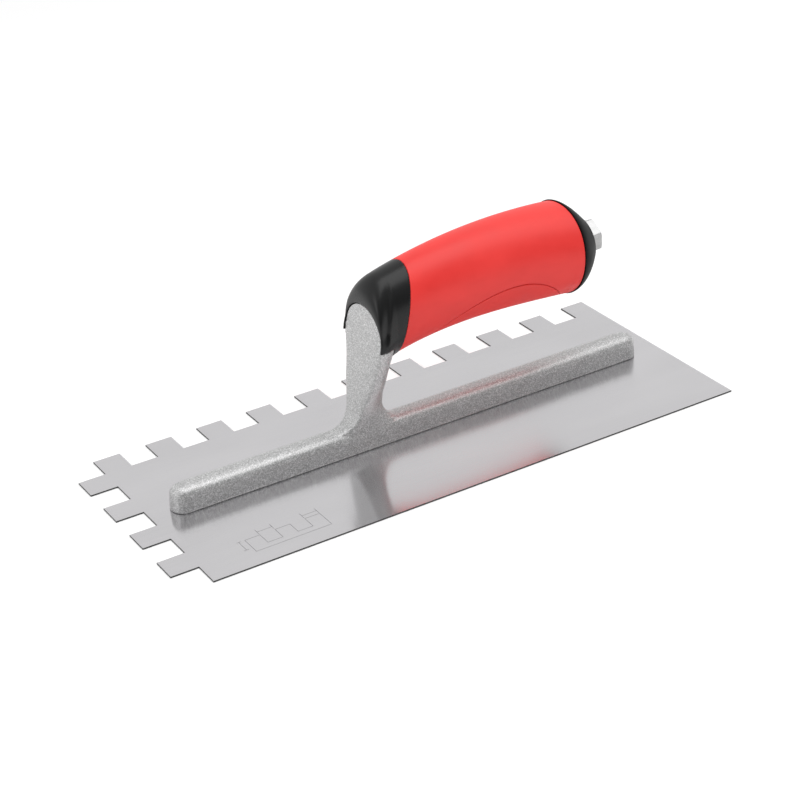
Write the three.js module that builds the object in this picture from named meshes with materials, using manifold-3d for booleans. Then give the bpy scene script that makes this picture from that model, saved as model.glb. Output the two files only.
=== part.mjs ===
// Notched trowel: a thin steel blade with square notches along its back edge and left end, a cast
// aluminium mounting riveted to it, and a two-part soft handle pulled onto the mounting's post by a
// threaded rod and a hex nut.
//
// Millimetres. The origin is the middle of the blade's underside. +X runs along the blade towards the
// handle's nut, +Y towards the notched back edge, +Z up through the handle.

import * as THREE from 'three';
import { mergeVertices } from 'three/addons/utils/BufferGeometryUtils.js';
import Module from 'manifold-3d';

const wasm = await Module();
wasm.setup();

// ---- Driving dimensions ----

const FIT = 0.3;               // clearance between a cut piece and its neighbour
const SEAT = 0.1;              // clearance between two flat faces that rest on each other

const NOTCH = 12.7;            // side of every square notch, and width of every tooth
const TEETH_ALONG = 11;        // teeth on the back edge
const TEETH_ACROSS = 4;        // teeth on the left end
const BLADE_LENGTH = 2 * TEETH_ALONG * NOTCH;
const BLADE_WIDTH = (2 * TEETH_ACROSS + 1) * NOTCH;
const BLADE_THICK = 0.7;

const BAR_LENGTH = 244;
const BAR_WIDTH = 12.3;
const BAR_MIDDLE_X = 4.75;
const BAR_BASE = BLADE_THICK + SEAT;
const BAR_SHOULDER = 6.8;      // height where the drafted sides turn into the crown
const BAR_TOP = 11.8;
const BAR_CROWN_POWER = 2.6;   // 2 would be an ellipse; more gives a flatter top and tighter shoulders
const BAR_DRAFT = 0.4;         // how far each side leans in below the shoulder

const RIVETS = 8;
const RIVET_RADIUS = 2.4;
const RIVET_HEAD_RADIUS = 3.2;
const RIVET_TOP = 8.6;
const RIVET_END_MARGIN = 12;   // from the bar's end to the first rivet

const FACE_X = -19.4;          // front of the post at its shield
const FACE_LEAN = 7.55;        // how far the face comes forward on its way down to the bar
const FACE_LEAN_TOP = 59;
const FACE_LEAN_BOTTOM = 20;
const POST_SIDE_DEPTH = 3;     // from the face back to where the sides start to round
const POST_BACK_BULGE = 9.4;   // from there to the middle of the rounded back
const POST_WAIST_Z = 28;       // below this the back goes straight down, not forward with the face
const POST_HALF_WIDTHS = [     // half width, height
  new THREE.Vector2(5.7, 9),
  new THREE.Vector2(5.9, 14),
  new THREE.Vector2(6.4, 18.5),
  new THREE.Vector2(7.5, 22.5),
  new THREE.Vector2(10.8, 31.5),
  new THREE.Vector2(12.8, 40.5),
  new THREE.Vector2(15.7, 51.1),
  new THREE.Vector2(15.7, 60),
];
const POST_FRONT_POWER = 0.33; // 1 would be an ellipse; less makes a flatter face with tighter edges
const TOE_HALF_WIDTH = 2.6;    // of the post's front, where its face runs out into the bar
const TOE_RISE = 5;            // height over which the toe grows to the post's width
const POST_TOP = 55;           // the ledges cut it lower
const FLARE_FRONT = new THREE.Vector2(11, 9.5); // run along the bar, and height, of the fillet
const FLARE_BACK = new THREE.Vector2(9, 9.5);
const FLARE_FOOT = 11.6;

const LEDGE_Z = 51;            // height of the ledges beside the shield, where the collar sits
const LEDGE_END_X = -13.2;     // the collar reaches below the ledges only behind this
const SHIELD_CENTRE_Z = 52.7;
const SHIELD_HALF_WIDTH = 14.6;
const SHIELD_RISE = 15.5;
const SHIELD_THICK = 2.2;
const PLUG_INSET = 1.4;        // how much smaller the plug behind the shield is
const PLUG_BACK_X = -12.8;
const BOSS_RADIUS = 7.2;
const BOSS_END_X = -8;

const ROD_RADIUS = 4;          // M8
const ROD_TILT = THREE.MathUtils.degToRad(4.5);
const ROD_START = -15;         // distances along the rod, from where its axis crosses X = 0
const ROD_END = 103.4;
const ROD_ORIGIN_Z = 60.0;

const HANDLE_N = 2.08;         // exponent of the handle's cross-section; 2 is an ellipse
const HANDLE_START = -3.7;     // where the handle's shape parameter is 0
const HANDLE_SPAN = 88;        // length over which it grows to 1
const COLLAR_JOINT_X = -3.3;   // collar to grip, at half height
const COLLAR_JOINT_LEAN = 0.2;
const COLLAR_JOINT_RADIUS = 70;
const HALF_HEIGHT_Z = 64.7;
const CAP_JOINT_X = 83.1;
const CAP_JOINT_LEAN = 0.044;
const CAP_POWER = 1.4;         // 1 would be a cone from the grip to the rim; more bulges
const CAP_SAG = 0.45;          // how much fuller its lower side is
const CAP_LIP = 0.4;           // the cap stands this far proud of the grip
const CAP_RIM_RADIUS = 11;     // the flat ring round the nut
const CAP_RIM = 97;            // its distance along the rod
const CORE_INSET = 3;

const HOOD_FRONT_X = -19.7;    // just proud of the shield's face, and leaning with it
const HOOD_LENGTH = 9.3;
const HOOD_POWER = 2.7;        // 2 would be an ellipse; more makes the hood fuller
const HOOD_RADIUS = 16.0;
const HOOD_STEP = 0.9;         // the band beside the grip stands this far outside the hood
const BAND_LENGTH = 9;
const HOOD_SIDE_FLARE = 1.9;   // spread of the hood's lower sides out to the ledges

const WELL_RADIUS = 8.5;       // recess for the washers and the nut
const WELL_FLOOR = 92.2;
const WASHER = { from: 92.5, thick: 1.3, outer: 8.0 };
const SPRING = { from: 94.1, thick: 1.8, outer: 6.8 };
const NUT = { from: 96.2, thick: 7.1, acrossFlats: 14, chamfer: 0.35 };
const NUT_TURN = THREE.MathUtils.degToRad(4);

const SECTION_STEPS = 36;

// ---- Materials ----

const steel = () => new THREE.MeshStandardMaterial({ color: 0xc9c9cb, roughness: 0.32, metalness: 1 });
const zinc = () => new THREE.MeshStandardMaterial({ color: 0xd8d9da, roughness: 0.28, metalness: 1 });
const casting = () => new THREE.MeshStandardMaterial({ color: 0xaeb0b2, roughness: 0.55, metalness: 1 });
const redRubber = () => new THREE.MeshStandardMaterial({ color: 0xdf2f2d, roughness: 0.5, metalness: 0 });
const padRubber = () => new THREE.MeshStandardMaterial({ color: 0xe04440, roughness: 0.55, metalness: 0 });
const blackPlastic = () => new THREE.MeshStandardMaterial({ color: 0x1b1c1e, roughness: 0.4, metalness: 0 });
const corePlastic = () => new THREE.MeshStandardMaterial({ color: 0x2a2b2d, roughness: 0.6, metalness: 0 });

// ---- Solids ----

function toSolid(geometry) {
  const bare = geometry.clone();
  bare.deleteAttribute('normal');
  bare.deleteAttribute('uv');
  const merged = mergeVertices(bare, 1e-4);
  return new wasm.Manifold(new wasm.Mesh({
    numProp: 3,
    vertProperties: new Float32Array(merged.attributes.position.array),
    triVerts: new Uint32Array(merged.index.array),
  }));
}

function toMesh(name, solid, material) {
  const { vertProperties, triVerts } = solid.getMesh();
  const geometry = new THREE.BufferGeometry();
  geometry.setAttribute('position', new THREE.BufferAttribute(new Float32Array(vertProperties), 3));
  geometry.setIndex(new THREE.BufferAttribute(new Uint32Array(triVerts), 1));
  geometry.computeVertexNormals();
  return namedMesh(name, geometry, material);
}

function namedMesh(name, geometry, material) {
  const mesh = new THREE.Mesh(geometry, material);
  mesh.name = name;
  return mesh;
}

// A closed skin over a row of rings that all have the same number of points.
function loft(rings) {
  const count = rings[0].length;
  const points = rings.flat();
  const faces = [];
  for (let ring = 0; ring < rings.length - 1; ring += 1) {
    for (let step = 0; step < count; step += 1) {
      const here = ring * count + step;
      const next = ring * count + ((step + 1) % count);
      faces.push(here, next, here + count);
      faces.push(next, next + count, here + count);
    }
  }
  const last = (rings.length - 1) * count;
  const firstMiddle = points.push(middleOf(rings[0])) - 1;
  const lastMiddle = points.push(middleOf(rings.at(-1))) - 1;
  for (let step = 0; step < count; step += 1) {
    const next = (step + 1) % count;
    faces.push(firstMiddle, next, step);
    faces.push(lastMiddle, last + step, last + next);
  }
  const geometry = new THREE.BufferGeometry().setFromPoints(points);
  geometry.setIndex(faces);
  return geometry;
}

function middleOf(ring) {
  const sum = ring.reduce((total, point) => total.add(point), new THREE.Vector3());
  return sum.divideScalar(ring.length);
}

const signedPower = (value, power) => Math.sign(value) * Math.abs(value) ** power;

// ---- Along the threaded rod, which rises towards the nut ----

function placeOnRod(geometry) {
  return geometry.rotateY(-ROD_TILT).translate(0, 0, ROD_ORIGIN_Z);
}

function rodCylinder(radius, from, to, steps = 32) {
  const cylinder = new THREE.CylinderGeometry(radius, radius, to - from, steps);
  cylinder.rotateZ(-Math.PI / 2).translate((from + to) / 2, 0, 0);
  return toSolid(placeOnRod(cylinder));
}

// ---- Blade and rivets ----

function bladeOutline() {
  const left = -BLADE_LENGTH / 2;
  const front = -BLADE_WIDTH / 2;
  const right = BLADE_LENGTH / 2;
  const back = BLADE_WIDTH / 2;
  const outline = new THREE.Shape();
  outline.moveTo(left + NOTCH, front);
  outline.lineTo(right, front);
  for (let tooth = TEETH_ALONG - 1; tooth >= 0; tooth -= 1) {
    const from = left + (2 * tooth + 1) * NOTCH;
    outline.lineTo(from + NOTCH, back);
    outline.lineTo(from, back);
    outline.lineTo(from, back - NOTCH);
    if (tooth > 0) {
      outline.lineTo(from - NOTCH, back - NOTCH);
    }
  }
  for (let tooth = TEETH_ACROSS - 1; tooth >= 0; tooth -= 1) {
    const from = front + (2 * tooth + 1) * NOTCH;
    outline.lineTo(left, from + NOTCH);
    outline.lineTo(left, from);
    outline.lineTo(left + NOTCH, from);
    if (tooth > 0) {
      outline.lineTo(left + NOTCH, from - NOTCH);
    }
  }
  outline.closePath();
  return outline;
}

function rivetPlaces() {
  const first = BAR_MIDDLE_X - BAR_LENGTH / 2 + RIVET_END_MARGIN;
  const pitch = (BAR_LENGTH - 2 * RIVET_END_MARGIN) / (RIVETS - 1);
  return Array.from({ length: RIVETS }, (_, index) => first + index * pitch);
}

// A countersunk rivet whose head fills the blade's hole flush with the underside.
function rivetGeometry(grow = 0) {
  const below = grow > 0 ? -1 : 0;
  const profile = [
    new THREE.Vector2(0, below),
    new THREE.Vector2(RIVET_HEAD_RADIUS + grow, below),
    new THREE.Vector2(RIVET_HEAD_RADIUS + grow, 0.1),
    new THREE.Vector2(RIVET_RADIUS + grow, BLADE_THICK),
    new THREE.Vector2(RIVET_RADIUS + grow, RIVET_TOP + grow),
    new THREE.Vector2(0, RIVET_TOP + grow),
  ];
  return new THREE.LatheGeometry(profile, 20).rotateX(Math.PI / 2);
}

function rivetHoles() {
  return rivetPlaces().map((x) => toSolid(rivetGeometry(FIT).translate(x, 0, 0)));
}

function blade() {
  const sheet = new THREE.ExtrudeGeometry(bladeOutline(), { depth: BLADE_THICK, bevelEnabled: false });
  const solid = rivetHoles().reduce((left, hole) => left.subtract(hole), toSolid(sheet));
  return toMesh('blade', solid, steel());
}

function rivets() {
  return rivetPlaces().map((x, index) => {
    const rivet = toMesh(`rivet_${index + 1}`, toSolid(rivetGeometry()), casting());
    rivet.position.x = x;
    return rivet;
  });
}

// ---- Mounting: bar, post, shield, plug and boss in one casting ----

function stadiumRing(inset, z) {
  const radius = BAR_WIDTH / 2 - inset;
  const reach = (BAR_LENGTH - BAR_WIDTH) / 2;
  const half = SECTION_STEPS / 2;
  const ring = [];
  for (let step = 0; step <= half; step += 1) {
    const angle = -Math.PI / 2 + (step / half) * Math.PI;
    ring.push(new THREE.Vector3(
      BAR_MIDDLE_X + reach + radius * Math.cos(angle), radius * Math.sin(angle), z));
  }
  for (let step = 0; step <= half; step += 1) {
    const angle = Math.PI / 2 + (step / half) * Math.PI;
    ring.push(new THREE.Vector3(
      BAR_MIDDLE_X - reach + radius * Math.cos(angle), radius * Math.sin(angle), z));
  }
  return ring;
}

function bar() {
  const rings = [stadiumRing(0, BAR_BASE), stadiumRing(BAR_DRAFT, BAR_SHOULDER)];
  const crownSteps = 7;
  const crownHalfWidth = BAR_WIDTH / 2 - BAR_DRAFT;
  for (let step = 1; step <= crownSteps; step += 1) {
    const angle = (step / crownSteps) * THREE.MathUtils.degToRad(86);
    const inset = BAR_DRAFT + crownHalfWidth * (1 - Math.cos(angle) ** (2 / BAR_CROWN_POWER));
    const rise = (BAR_TOP - BAR_SHOULDER) * Math.sin(angle) ** (2 / BAR_CROWN_POWER);
    rings.push(stadiumRing(inset, BAR_SHOULDER + rise));
  }
  return toSolid(loft(rings));
}

function faceX(z) {
  const down = THREE.MathUtils.clamp((FACE_LEAN_TOP - z) / (FACE_LEAN_TOP - FACE_LEAN_BOTTOM), 0, 1);
  return FACE_X - FACE_LEAN * down ** 1.3;
}

function flare(size, z) {
  const toFoot = THREE.MathUtils.clamp(1 - (z - FLARE_FOOT) / size.y, 0, 1);
  return size.x * (1 - Math.sqrt(1 - toFoot * toFoot));
}

function postHalfWidth(z) {
  const spline = new THREE.SplineCurve(POST_HALF_WIDTHS);
  let low = 0;
  let high = 1;
  for (let turn = 0; turn < 30; turn += 1) {
    const middle = (low + high) / 2;
    if (spline.getPoint(middle).y < z) {
      low = middle;
    } else {
      high = middle;
    }
  }
  return spline.getPoint(low).x;
}

// Flat front with rounded edges, straight sides and a rounded back.
function postRing(z, grow) {
  const halfWidth = postHalfWidth(z) + grow;
  const front = faceX(z) - flare(FLARE_FRONT, z) - grow;
  const widest = faceX(z) + POST_SIDE_DEPTH;
  const back = faceX(Math.max(z, POST_WAIST_Z)) + POST_SIDE_DEPTH + POST_BACK_BULGE
    + flare(FLARE_BACK, z) + grow;
  const aboveFoot = THREE.MathUtils.clamp((z - FLARE_FOOT) / TOE_RISE, 0, 1);
  const toe = THREE.MathUtils.lerp(TOE_HALF_WIDTH, halfWidth, Math.sqrt(aboveFoot));
  const ring = [];
  for (let step = 0; step < SECTION_STEPS; step += 1) {
    const angle = (step / SECTION_STEPS) * 2 * Math.PI;
    const isFront = Math.cos(angle) < 0;
    const depth = isFront ? widest - front : back - widest;
    const power = isFront ? POST_FRONT_POWER : 1;
    const out = signedPower(Math.cos(angle), power);
    const width = isFront ? THREE.MathUtils.lerp(halfWidth, toe, out * out) : halfWidth;
    ring.push(new THREE.Vector3(
      widest + depth * out,
      width * signedPower(Math.sin(angle), power),
      z));
  }
  return ring;
}

function belowLedges(grow = 0) {
  return toSolid(new THREE.BoxGeometry(200, 60, 60).translate(0, 0, LEDGE_Z + grow - 30));
}

// Rings lie closer together low down, where the flares curve most.
function post(grow = 0) {
  const insideBar = 9;
  const closest = 1.3;
  const spread = 0.06;
  const rings = [postRing(insideBar, grow)];
  for (let z = FLARE_FOOT; z < POST_TOP; z += closest + (z - FLARE_FOOT) * spread) {
    rings.push(postRing(z, grow));
  }
  return toSolid(loft(rings)).intersect(belowLedges());
}

// The arch above the ledge: a half ellipse on a short straight foot.
function archRing(x, grow) {
  const ring = [];
  const steps = 28;
  for (let step = 0; step <= steps; step += 1) {
    const angle = (step / steps) * Math.PI;
    ring.push(new THREE.Vector2(
      (SHIELD_HALF_WIDTH + grow) * Math.cos(angle),
      SHIELD_CENTRE_Z + (SHIELD_RISE + grow) * Math.sin(angle)));
  }
  const foot = LEDGE_Z - 1;
  ring.push(new THREE.Vector2(-(SHIELD_HALF_WIDTH + grow), foot));
  ring.push(new THREE.Vector2(SHIELD_HALF_WIDTH + grow, foot));
  return ring.map((point) => new THREE.Vector3(x(point.y), point.x, point.y));
}

function shield() {
  const front = archRing((z) => faceX(z), 0);
  const back = archRing((z) => faceX(z) + SHIELD_THICK, 0);
  return toSolid(loft([front, back]));
}

// The recess in the collar that the shield lies in, open to the front.
function shieldPocket() {
  const beyondHood = 3;
  const front = archRing((z) => faceX(z) - beyondHood, FIT);
  const back = archRing((z) => faceX(z) + SHIELD_THICK + FIT, FIT);
  return toSolid(loft([front, back]));
}

function plug(grow = 0) {
  const front = archRing((z) => faceX(z) + SHIELD_THICK / 2, grow - PLUG_INSET);
  const back = archRing(() => PLUG_BACK_X + grow, grow - PLUG_INSET);
  return toSolid(loft([front, back]));
}

function mounting() {
  const boss = rodCylinder(BOSS_RADIUS, PLUG_BACK_X - 0.7, BOSS_END_X);
  const body = bar().add(post()).add(shield()).add(plug()).add(boss);
  const bored = body.subtract(rodCylinder(ROD_RADIUS + FIT, ROD_START - FIT, BOSS_END_X + 5, 20));
  const solid = rivetHoles().reduce((left, hole) => left.subtract(hole), bored);
  return toMesh('mounting_casting', solid, casting());
}

// ---- Handle shape, shared by the collar, grip, pad, core and cap ----

function handleSection(x) {
  const t = (x - HANDLE_START) / HANDLE_SPAN;
  return {
    middle: 63.24 + 20.72 * t - 22.53 * t * t + 5.91 * t * t * t,
    halfHeight: 19.74 - 0.24 * t + 6.28 * t * t - 4.8 * t * t * t,
    halfWidth: 14.48 + 4.92 * t + 1.86 * t * t,
  };
}

function ovalRing(x, section, inset = 0, power = 2 / HANDLE_N) {
  const ring = [];
  for (let step = 0; step < SECTION_STEPS; step += 1) {
    const angle = (step / SECTION_STEPS) * 2 * Math.PI;
    ring.push(new THREE.Vector3(
      x,
      (section.halfWidth - inset) * signedPower(Math.cos(angle), power),
      section.middle + (section.halfHeight - inset) * signedPower(Math.sin(angle), power)));
  }
  return ring;
}

function handleBody(inset, from = -12, to = 90) {
  const rings = [];
  const stations = 14;
  for (let station = 0; station <= stations; station += 1) {
    const x = THREE.MathUtils.lerp(from, to, station / stations);
    rings.push(ovalRing(x, handleSection(x), inset));
  }
  return toSolid(loft(rings));
}

// Everything behind the joint between collar and grip, which bows forward at the sides.
function behindCollarJoint(shift) {
  const reach = 30;
  const plan = new THREE.Shape();
  const edge = (y) => -(y * y) / (2 * COLLAR_JOINT_RADIUS);
  plan.moveTo(120, -reach);
  plan.lineTo(120, reach);
  for (let y = reach; y >= -reach; y -= 4) {
    plan.lineTo(edge(y), y);
  }
  plan.closePath();
  const block = new THREE.ExtrudeGeometry(plan, { depth: 80, bevelEnabled: false });
  block.translate(0, 0, -40);
  block.applyMatrix4(new THREE.Matrix4().makeShear(0, 0, 0, 0, COLLAR_JOINT_LEAN, 0));
  return toSolid(block.translate(COLLAR_JOINT_X + shift, 0, HALF_HEIGHT_Z));
}

// Everything behind the joint between grip and cap.
function behindCapJoint(shift) {
  const block = new THREE.BoxGeometry(60, 80, 80).translate(30, 0, 0);
  block.applyMatrix4(new THREE.Matrix4().makeShear(0, 0, 0, 0, CAP_JOINT_LEAN, 0));
  return toSolid(block.translate(CAP_JOINT_X + shift, 0, HALF_HEIGHT_Z));
}

// ---- Collar ----

// Front edge of the band, which runs beside the grip and as far from it all round.
function bandFront(y, z) {
  return COLLAR_JOINT_X - BAND_LENGTH + COLLAR_JOINT_LEAN * (z - HALF_HEIGHT_Z)
    - (y * y) / (2 * COLLAR_JOINT_RADIUS);
}

function hoodRing(x) {
  const run = THREE.MathUtils.clamp((x - HOOD_FRONT_X) / HOOD_LENGTH, 0, 1);
  const grown = (1 - (1 - run) ** HOOD_POWER) ** (1 / HOOD_POWER);
  const handle = handleSection(x);
  const top = THREE.MathUtils.lerp(SHIELD_CENTRE_Z + HOOD_RADIUS, handle.middle + handle.halfHeight, grown);
  const bottom = THREE.MathUtils.lerp(SHIELD_CENTRE_Z - HOOD_RADIUS, handle.middle - handle.halfHeight, grown);
  const section = {
    middle: (top + bottom) / 2,
    halfHeight: (top - bottom) / 2,
    halfWidth: THREE.MathUtils.lerp(HOOD_RADIUS, handle.halfWidth, grown * run),
  };
  return ovalRing(x, section, 0, 1).map((point) => {
    const ahead = THREE.MathUtils.smoothstep(bandFront(point.y, point.z) - x, 0, 1.6);
    const away = THREE.MathUtils.smoothstep(x - HOOD_FRONT_X, 1, 4);
    const low = 1 - THREE.MathUtils.smoothstep(point.z, LEDGE_Z, LEDGE_Z + 9);
    const along = THREE.MathUtils.smoothstep(x, HOOD_FRONT_X - 1, HOOD_FRONT_X + 4)
      * (1 - THREE.MathUtils.smoothstep(x, HOOD_FRONT_X + 4, COLLAR_JOINT_X));
    const spread = HOOD_SIDE_FLARE * low * along - HOOD_STEP * ahead * away;
    const lean = (faceX(point.z) - FACE_X) * (1 - run) ** 2;
    return new THREE.Vector3(point.x + lean, point.y * (1 + spread / section.halfWidth), point.z);
  });
}

function collar() {
  const rings = [];
  const stations = 16;
  const length = 25;
  const crowding = 1.5;
  for (let station = 0; station <= stations; station += 1) {
    rings.push(hoodRing(HOOD_FRONT_X + length * (station / stations) ** crowding));
  }
  const behindLedges = new THREE.BoxGeometry(40, 60, 80).translate(LEDGE_END_X + 20, 0, LEDGE_Z);
  const overPost = belowLedges(SEAT).subtract(toSolid(behindLedges));
  const solid = toSolid(loft(rings))
    .subtract(behindCollarJoint(-FIT / 2))
    .subtract(overPost)
    .subtract(post(FIT))
    .subtract(shieldPocket())
    .subtract(plug(FIT))
    .subtract(rodCylinder(BOSS_RADIUS + FIT, -16, 10));
  return toMesh('collar', solid, blackPlastic());
}

// ---- Core, grip and palm pad ----

function core() {
  const solid = handleBody(CORE_INSET)
    .intersect(behindCollarJoint(FIT / 2))
    .subtract(behindCapJoint(-FIT / 2))
    .subtract(rodCylinder(ROD_RADIUS + FIT, -20, 110, 20));
  return toMesh('handle_core', solid, corePlastic());
}

function gripShell() {
  return handleBody(0)
    .intersect(behindCollarJoint(FIT / 2))
    .subtract(behindCapJoint(-FIT / 2))
    .subtract(handleBody(CORE_INSET - FIT, -14, 92));
}

// The side view of the pad under the palm, drawn in X and Z and run across the handle.
function padBlock(grow) {
  const outline = new THREE.Shape();
  outline.moveTo(1 - grow, 38);
  outline.lineTo(1 - grow, 44 + grow);
  outline.bezierCurveTo(16 - grow, 56 + grow, 34, 64.2 + grow, 49, 64.2 + grow);
  outline.bezierCurveTo(62, 64.2 + grow, 73 + grow, 57 + grow, 79.5 + grow, 44 + grow);
  outline.lineTo(79.5 + grow, 38);
  outline.closePath();
  const block = new THREE.ExtrudeGeometry(outline, { depth: 60, bevelEnabled: false, curveSegments: 10 });
  return toSolid(block.rotateX(Math.PI / 2).translate(0, 30, 0));
}

function grip() {
  return toMesh('grip_sleeve', gripShell().subtract(padBlock(FIT / 2)), redRubber());
}

function palmPad() {
  return toMesh('palm_pad', gripShell().intersect(padBlock(-FIT / 2)), padRubber());
}

// ---- End cap ----

// An outline of the cap's dome, from the grip's section at 0 to the rim's circle at 1.
function domeRing(t) {
  const base = handleSection(CAP_JOINT_X);
  const bulge = t ** CAP_POWER;
  const sag = CAP_SAG * Math.sin(Math.PI * t);
  const middle = THREE.MathUtils.lerp(base.middle, ROD_ORIGIN_Z + CAP_RIM * Math.sin(ROD_TILT), t) - sag;
  const lean = THREE.MathUtils.lerp(CAP_JOINT_LEAN, -Math.tan(ROD_TILT), t);
  const section = {
    middle,
    halfHeight: THREE.MathUtils.lerp(base.halfHeight + CAP_LIP, CAP_RIM_RADIUS, bulge) + sag,
    halfWidth: THREE.MathUtils.lerp(base.halfWidth + CAP_LIP, CAP_RIM_RADIUS, bulge),
  };
  const x = THREE.MathUtils.lerp(CAP_JOINT_X, CAP_RIM * Math.cos(ROD_TILT), t);
  return ovalRing(x, section).map((point) => point.setX(x + lean * (point.z - middle)));
}

function cap() {
  const rings = [ovalRing(CAP_JOINT_X - 5, handleSection(CAP_JOINT_X - 5), -CAP_LIP)];
  const stations = 8;
  for (let station = 0; station <= stations; station += 1) {
    rings.push(domeRing(station / stations));
  }
  const solid = toSolid(loft(rings))
    .intersect(behindCapJoint(FIT / 2))
    .subtract(rodCylinder(ROD_RADIUS + FIT, 70, 110, 20))
    .subtract(rodCylinder(WELL_RADIUS, WELL_FLOOR, 110));
  return toMesh('end_cap', solid, blackPlastic());
}

// ---- Threaded rod, washers and nut ----

function ringOnRod(name, { from, thick, outer }, material) {
  const inner = ROD_RADIUS + FIT;
  const profile = [
    new THREE.Vector2(inner, 0),
    new THREE.Vector2(outer, 0),
    new THREE.Vector2(outer, thick),
    new THREE.Vector2(inner, thick),
    new THREE.Vector2(inner, 0),
  ];
  const washer = new THREE.LatheGeometry(profile, 28).rotateZ(-Math.PI / 2).translate(from, 0, 0);
  return toMesh(name, toSolid(washer), material);
}

// A spring washer is one turn of square wire with a slanted cut through it.
function springWasher() {
  const ring = ringOnRod('spring_washer', SPRING, zinc());
  const cutWidth = 1.2;
  const cutSlant = THREE.MathUtils.degToRad(25);
  const cut = new THREE.BoxGeometry(SPRING.thick * 4, cutWidth, 6);
  cut.rotateZ(cutSlant).translate(SPRING.from + SPRING.thick / 2, 0, -SPRING.outer);
  return toMesh('spring_washer', toSolid(ring.geometry).subtract(toSolid(cut)), zinc());
}

// A hexagon with its outer corners chamfered by a shallow cone.
function nut() {
  const cornerRadius = NUT.acrossFlats / 2 / Math.cos(Math.PI / 6);
  const hexagon = new THREE.CylinderGeometry(cornerRadius, cornerRadius, NUT.thick, 6);
  hexagon.rotateZ(-Math.PI / 2).translate(NUT.from + NUT.thick / 2, 0, 0);
  const chamfer = new THREE.LatheGeometry([
    new THREE.Vector2(0, 0),
    new THREE.Vector2(cornerRadius + 1, 0),
    new THREE.Vector2(cornerRadius + 1, NUT.thick - 2 * NUT.chamfer),
    new THREE.Vector2(cornerRadius - 1, NUT.thick),
    new THREE.Vector2(0, NUT.thick),
  ], 36).rotateZ(-Math.PI / 2).translate(NUT.from, 0, 0);
  const hole = new THREE.CylinderGeometry(ROD_RADIUS + FIT, ROD_RADIUS + FIT, 30, 20);
  hole.rotateZ(-Math.PI / 2).translate(NUT.from, 0, 0);
  const solid = toSolid(hexagon.rotateX(NUT_TURN)).intersect(toSolid(chamfer)).subtract(toSolid(hole));
  return toMesh('hex_nut', solid, zinc());
}

function threadedRod() {
  const chamfer = 0.8;
  const length = ROD_END - ROD_START;
  const profile = [
    new THREE.Vector2(0, 0),
    new THREE.Vector2(ROD_RADIUS - chamfer, 0),
    new THREE.Vector2(ROD_RADIUS, chamfer),
    new THREE.Vector2(ROD_RADIUS, length - chamfer),
    new THREE.Vector2(ROD_RADIUS - chamfer, length),
    new THREE.Vector2(0, length),
  ];
  const rod = new THREE.LatheGeometry(profile, 20).rotateZ(-Math.PI / 2).translate(ROD_START, 0, 0);
  return toMesh('threaded_rod', toSolid(rod), zinc());
}

// ---- Assembly ----

const fastening = new THREE.Group();
fastening.rotation.y = -ROD_TILT;
fastening.position.z = ROD_ORIGIN_Z;
fastening.add(threadedRod(), ringOnRod('flat_washer', WASHER, zinc()), springWasher(), nut());

const handle = new THREE.Group();
handle.add(collar(), core(), grip(), palmPad(), cap(), fastening);

const trowel = new THREE.Group();
trowel.add(blade(), mounting(), ...rivets(), handle);

export default trowel;
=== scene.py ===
# Looks of the notched trowel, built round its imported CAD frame.
#
# Shapes are worked out in millimetres in the CAD's own frame: the origin is the middle of the
# blade's underside, +X runs towards the handle's nut, +Y towards the notched back edge and +Z up.
# They become metres when a mesh is made.

import math

import bmesh
import bpy
from mathutils import Matrix, Vector
from mathutils.geometry import delaunay_2d_cdt


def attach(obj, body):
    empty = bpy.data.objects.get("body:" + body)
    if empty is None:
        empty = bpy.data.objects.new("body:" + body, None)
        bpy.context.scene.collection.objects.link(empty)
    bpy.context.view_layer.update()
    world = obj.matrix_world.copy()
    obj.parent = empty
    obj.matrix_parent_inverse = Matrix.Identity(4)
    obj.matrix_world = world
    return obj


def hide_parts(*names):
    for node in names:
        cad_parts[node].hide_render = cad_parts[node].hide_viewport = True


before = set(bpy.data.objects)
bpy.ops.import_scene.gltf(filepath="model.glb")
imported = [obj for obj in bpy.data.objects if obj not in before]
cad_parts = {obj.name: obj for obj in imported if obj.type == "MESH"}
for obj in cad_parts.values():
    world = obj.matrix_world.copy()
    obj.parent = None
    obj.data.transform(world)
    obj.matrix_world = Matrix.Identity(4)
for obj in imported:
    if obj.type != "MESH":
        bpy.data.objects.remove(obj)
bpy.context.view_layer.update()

MM = 0.001

# ---- Driving dimensions, the same as the CAD model's ----

NOTCH = 12.7
TEETH_ALONG = 11
TEETH_ACROSS = 4
BLADE_LENGTH = 2 * TEETH_ALONG * NOTCH
BLADE_WIDTH = (2 * TEETH_ACROSS + 1) * NOTCH
BLADE_THICK = 0.7

BAR_LENGTH = 244
BAR_WIDTH = 12.3
BAR_MIDDLE_X = 4.75
BAR_BASE = 0.8
BAR_SHOULDER = 6.8
BAR_TOP = 11.8
BAR_CROWN_POWER = 2.6
BAR_DRAFT = 0.4

RIVETS = 8
RIVET_RADIUS = 2.4
RIVET_HEAD_RADIUS = 3.2
RIVET_TOP = 8.6
RIVET_END_MARGIN = 12

FACE_X = -19.4
FACE_LEAN = 7.55
FACE_LEAN_TOP = 59
FACE_LEAN_BOTTOM = 20
POST_SIDE_DEPTH = 3
POST_BACK_BULGE = 9.4
POST_WAIST_Z = 28
POST_HALF_WIDTHS = [  # height, half width
    (9, 5.7), (14, 5.9), (18.5, 6.4), (22.5, 7.5),
    (31.5, 10.8), (40.5, 12.8), (51.1, 15.7), (60, 15.7)]
POST_FRONT_POWER = 0.33
TOE_HALF_WIDTH = 2.6
TOE_RISE = 5
FLARE_FRONT = (11, 9.5)
FLARE_BACK = (9, 9.5)
FLARE_FOOT = 11.6

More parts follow.
